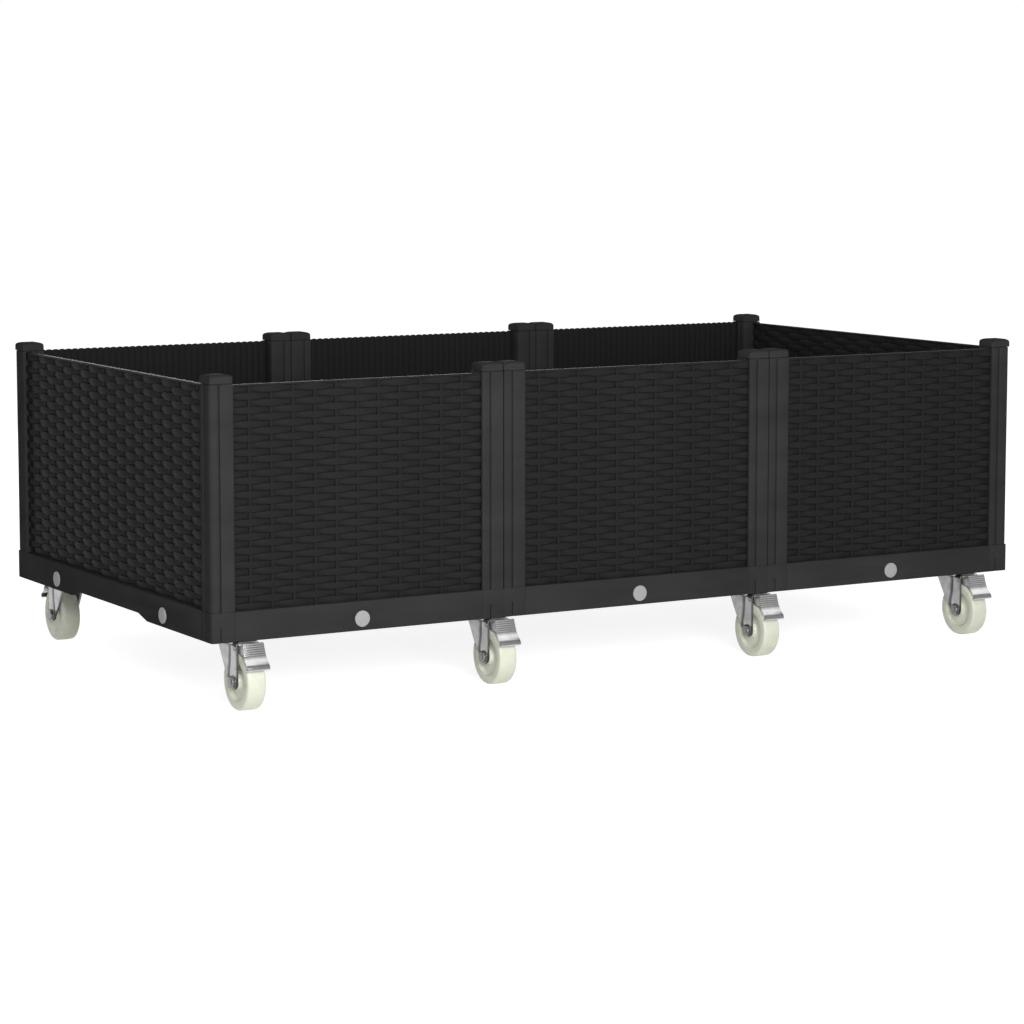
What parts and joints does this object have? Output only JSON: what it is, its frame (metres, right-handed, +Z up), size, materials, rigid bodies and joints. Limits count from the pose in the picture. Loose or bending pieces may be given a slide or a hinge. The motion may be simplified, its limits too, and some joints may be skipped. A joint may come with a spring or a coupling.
{
  "type": "rolling planter",
  "caption": "Long raised planter bed of joined square trays with woven panels between capped posts, drain plugs in the skirt, and braked swivel casters underneath.",
  "frame": {"origin": "middle of the footprint, on the ground under the wheels", "axes": "+X along the bed to the right seen from the front, +Y from front to back, +Z up"},
  "size_m": [1.2044, 0.6652, 0.408],
  "materials": {
    "charcoal_plastic": "satin moulded resin",
    "woven_plastic": "moulded weave",
    "black_plastic": "matte",
    "wheel_plastic": "satin nylon",
    "plug_plastic": "satin",
    "zinc": "zinc plated sheet",
    "bright_zinc": "bright zinc plate"
  },
  "bodies": {
    "planter": {"tray_left": "charcoal_plastic", "tray_middle": "charcoal_plastic", "tray_right": "charcoal_plastic", "front_panel_left": "woven_plastic", "front_panel_middle": "woven_plastic", "front_panel_right": "woven_plastic", "back_panel_left": "woven_plastic", "back_panel_middle": "woven_plastic", "back_panel_right": "woven_plastic", "side_panel_left": "woven_plastic", "side_panel_right": "woven_plastic", "corner_posts": "charcoal_plastic", "joint_posts": "charcoal_plastic", "post_caps": "charcoal_plastic", "caster_bosses": "black_plastic", "swivel_stems": "zinc", "stem_washers": "zinc", "stem_nuts": "zinc"},
    "caster_front_1": {"fork_front_1": "zinc", "bolts_front_1": "bright_zinc"},
    "wheel_front_1": {"wheel_front_1": "wheel_plastic"},
    "pedal_front_1": {"pedal_front_1": "bright_zinc"},
    "caster_front_2": {"fork_front_2": "zinc", "bolts_front_2": "bright_zinc"},
    "wheel_front_2": {"wheel_front_2": "wheel_plastic"},
    "pedal_front_2": {"pedal_front_2": "bright_zinc"},
    "caster_front_3": {"fork_front_3": "zinc", "bolts_front_3": "bright_zinc"},
    "wheel_front_3": {"wheel_front_3": "wheel_plastic"},
    "pedal_front_3": {"pedal_front_3": "bright_zinc"},
    "caster_front_4": {"fork_front_4": "zinc", "bolts_front_4": "bright_zinc"},
    "wheel_front_4": {"wheel_front_4": "wheel_plastic"},
    "pedal_front_4": {"pedal_front_4": "bright_zinc"},
    "caster_back_1": {"fork_back_1": "zinc", "bolts_back_1": "bright_zinc"},
    "wheel_back_1": {"wheel_back_1": "wheel_plastic"},
    "pedal_back_1": {"pedal_back_1": "bright_zinc"},
    "caster_back_2": {"fork_back_2": "zinc", "bolts_back_2": "bright_zinc"},
    "wheel_back_2": {"wheel_back_2": "wheel_plastic"},
    "pedal_back_2": {"pedal_back_2": "bright_zinc"},
    "caster_back_3": {"fork_back_3": "zinc", "bolts_back_3": "bright_zinc"},
    "wheel_back_3": {"wheel_back_3": "wheel_plastic"},
    "pedal_back_3": {"pedal_back_3": "bright_zinc"},
    "caster_back_4": {"fork_back_4": "zinc", "bolts_back_4": "bright_zinc"},
    "wheel_back_4": {"wheel_back_4": "wheel_plastic"},
    "pedal_back_4": {"pedal_back_4": "bright_zinc"},
    "plug_front_left": {"plug_front_left": "plug_plastic"},
    "plug_front_middle": {"plug_front_middle": "plug_plastic"},
    "plug_front_right": {"plug_front_right": "plug_plastic"},
    "plug_back_left": {"plug_back_left": "plug_plastic"},
    "plug_back_middle": {"plug_back_middle": "plug_plastic"},
    "plug_back_right": {"plug_back_right": "plug_plastic"},
    "plug_left_front": {"plug_left_front": "plug_plastic"},
    "plug_left_back": {"plug_left_back": "plug_plastic"},
    "plug_right_front": {"plug_right_front": "plug_plastic"},
    "plug_right_back": {"plug_right_back": "plug_plastic"}
  },
  "joints": [
    {"name": "swivel_front_1", "type": "hinge", "parent": "planter", "child": "caster_front_1", "pos_m": [-0.5465, -0.269, 0.0865], "axis": [0, 0, 1], "continuous": true},
    {"name": "spin_front_1", "type": "hinge", "parent": "caster_front_1", "child": "wheel_front_1", "pos_m": [-0.5465, -0.291, 0.03575], "axis": [1, 0, 0], "continuous": true},
    {"name": "brake_front_1", "type": "hinge", "parent": "caster_front_1", "child": "pedal_front_1", "pos_m": [-0.5465, -0.297, 0.0775], "axis": [1, 0, 0], "range_deg": [0, 8]},
    {"name": "swivel_front_2", "type": "hinge", "parent": "planter", "child": "caster_front_2", "pos_m": [-0.2, -0.269, 0.0865], "axis": [0, 0, 1], "continuous": true},
    {"name": "spin_front_2", "type": "hinge", "parent": "caster_front_2", "child": "wheel_front_2", "pos_m": [-0.2, -0.291, 0.03575], "axis": [1, 0, 0], "continuous": true},
    {"name": "brake_front_2", "type": "hinge", "parent": "caster_front_2", "child": "pedal_front_2", "pos_m": [-0.2, -0.297, 0.0775], "axis": [1, 0, 0], "range_deg": [0, 8]},
    {"name": "swivel_front_3", "type": "hinge", "parent": "planter", "child": "caster_front_3", "pos_m": [0.2, -0.269, 0.0865], "axis": [0, 0, 1], "continuous": true},
    {"name": "spin_front_3", "type": "hinge", "parent": "caster_front_3", "child": "wheel_front_3", "pos_m": [0.2, -0.291, 0.03575], "axis": [1, 0, 0], "continuous": true},
    {"name": "brake_front_3", "type": "hinge", "parent": "caster_front_3", "child": "pedal_front_3", "pos_m": [0.2, -0.297, 0.0775], "axis": [1, 0, 0], "range_deg": [0, 8]},
    {"name": "swivel_front_4", "type": "hinge", "parent": "planter", "child": "caster_front_4", "pos_m": [0.5465, -0.269, 0.0865], "axis": [0, 0, 1], "continuous": true},
    {"name": "spin_front_4", "type": "hinge", "parent": "caster_front_4", "child": "wheel_front_4", "pos_m": [0.5465, -0.291, 0.03575], "axis": [1, 0, 0], "continuous": true},
    {"name": "brake_front_4", "type": "hinge", "parent": "caster_front_4", "child": "pedal_front_4", "pos_m": [0.5465, -0.297, 0.0775], "axis": [1, 0, 0], "range_deg": [0, 8]},
    {"name": "swivel_back_1", "type": "hinge", "parent": "planter", "child": "caster_back_1", "pos_m": [-0.5465, 0.269, 0.0865], "axis": [0, 0, 1], "continuous": true},
    {"name": "spin_back_1", "type": "hinge", "parent": "caster_back_1", "child": "wheel_back_1", "pos_m": [-0.5465, 0.291, 0.03575], "axis": [1, 0, 0], "continuous": true},
    {"name": "brake_back_1", "type": "hinge", "parent": "caster_back_1", "child": "pedal_back_1", "pos_m": [-0.5465, 0.297, 0.0775], "axis": [-1, 0, 0], "range_deg": [0, 8]},
    {"name": "swivel_back_2", "type": "hinge", "parent": "planter", "child": "caster_back_2", "pos_m": [-0.2, 0.269, 0.0865], "axis": [0, 0, 1], "continuous": true},
    {"name": "spin_back_2", "type": "hinge", "parent": "caster_back_2", "child": "wheel_back_2", "pos_m": [-0.2, 0.291, 0.03575], "axis": [1, 0, 0], "continuous": true},
    {"name": "brake_back_2", "type": "hinge", "parent": "caster_back_2", "child": "pedal_back_2", "pos_m": [-0.2, 0.297, 0.0775], "axis": [-1, 0, 0], "range_deg": [0, 8]},
    {"name": "swivel_back_3", "type": "hinge", "parent": "planter", "child": "caster_back_3", "pos_m": [0.2, 0.269, 0.0865], "axis": [0, 0, 1], "continuous": true},
    {"name": "spin_back_3", "type": "hinge", "parent": "caster_back_3", "child": "wheel_back_3", "pos_m": [0.2, 0.291, 0.03575], "axis": [1, 0, 0], "continuous": true},
    {"name": "brake_back_3", "type": "hinge", "parent": "caster_back_3", "child": "pedal_back_3", "pos_m": [0.2, 0.297, 0.0775], "axis": [-1, 0, 0], "range_deg": [0, 8]},
    {"name": "swivel_back_4", "type": "hinge", "parent": "planter", "child": "caster_back_4", "pos_m": [0.5465, 0.269, 0.0865], "axis": [0, 0, 1], "continuous": true},
    {"name": "spin_back_4", "type": "hinge", "parent": "caster_back_4", "child": "wheel_back_4", "pos_m": [0.5465, 0.291, 0.03575], "axis": [1, 0, 0], "continuous": true},
    {"name": "brake_back_4", "type": "hinge", "parent": "caster_back_4", "child": "pedal_back_4", "pos_m": [0.5465, 0.297, 0.0775], "axis": [-1, 0, 0], "range_deg": [0, 8]},
    {"name": "pull_plug_front_left", "type": "slide", "parent": "planter", "child": "plug_front_left", "axis": [0, -1, 0], "range_m": [0, 0.03]},
    {"name": "pull_plug_front_middle", "type": "slide", "parent": "planter", "child": "plug_front_middle", "axis": [0, -1, 0], "range_m": [0, 0.03]},
    {"name": "pull_plug_front_right", "type": "slide", "parent": "planter", "child": "plug_front_right", "axis": [0, -1, 0], "range_m": [0, 0.03]},
    {"name": "pull_plug_back_left", "type": "slide", "parent": "planter", "child": "plug_back_left", "axis": [0, 1, 0], "range_m": [0, 0.03]},
    {"name": "pull_plug_back_middle", "type": "slide", "parent": "planter", "child": "plug_back_middle", "axis": [0, 1, 0], "range_m": [0, 0.03]},
    {"name": "pull_plug_back_right", "type": "slide", "parent": "planter", "child": "plug_back_right", "axis": [0, 1, 0], "range_m": [0, 0.03]},
    {"name": "pull_plug_left_front", "type": "slide", "parent": "planter", "child": "plug_left_front", "axis": [-1, 0, 0], "range_m": [0, 0.03]},
    {"name": "pull_plug_left_back", "type": "slide", "parent": "planter", "child": "plug_left_back", "axis": [-1, 0, 0], "range_m": [0, 0.03]},
    {"name": "pull_plug_right_front", "type": "slide", "parent": "planter", "child": "plug_right_front", "axis": [1, 0, 0], "range_m": [0, 0.03]},
    {"name": "pull_plug_right_back", "type": "slide", "parent": "planter", "child": "plug_right_back", "axis": [1, 0, 0], "range_m": [0, 0.03]}
  ]
}
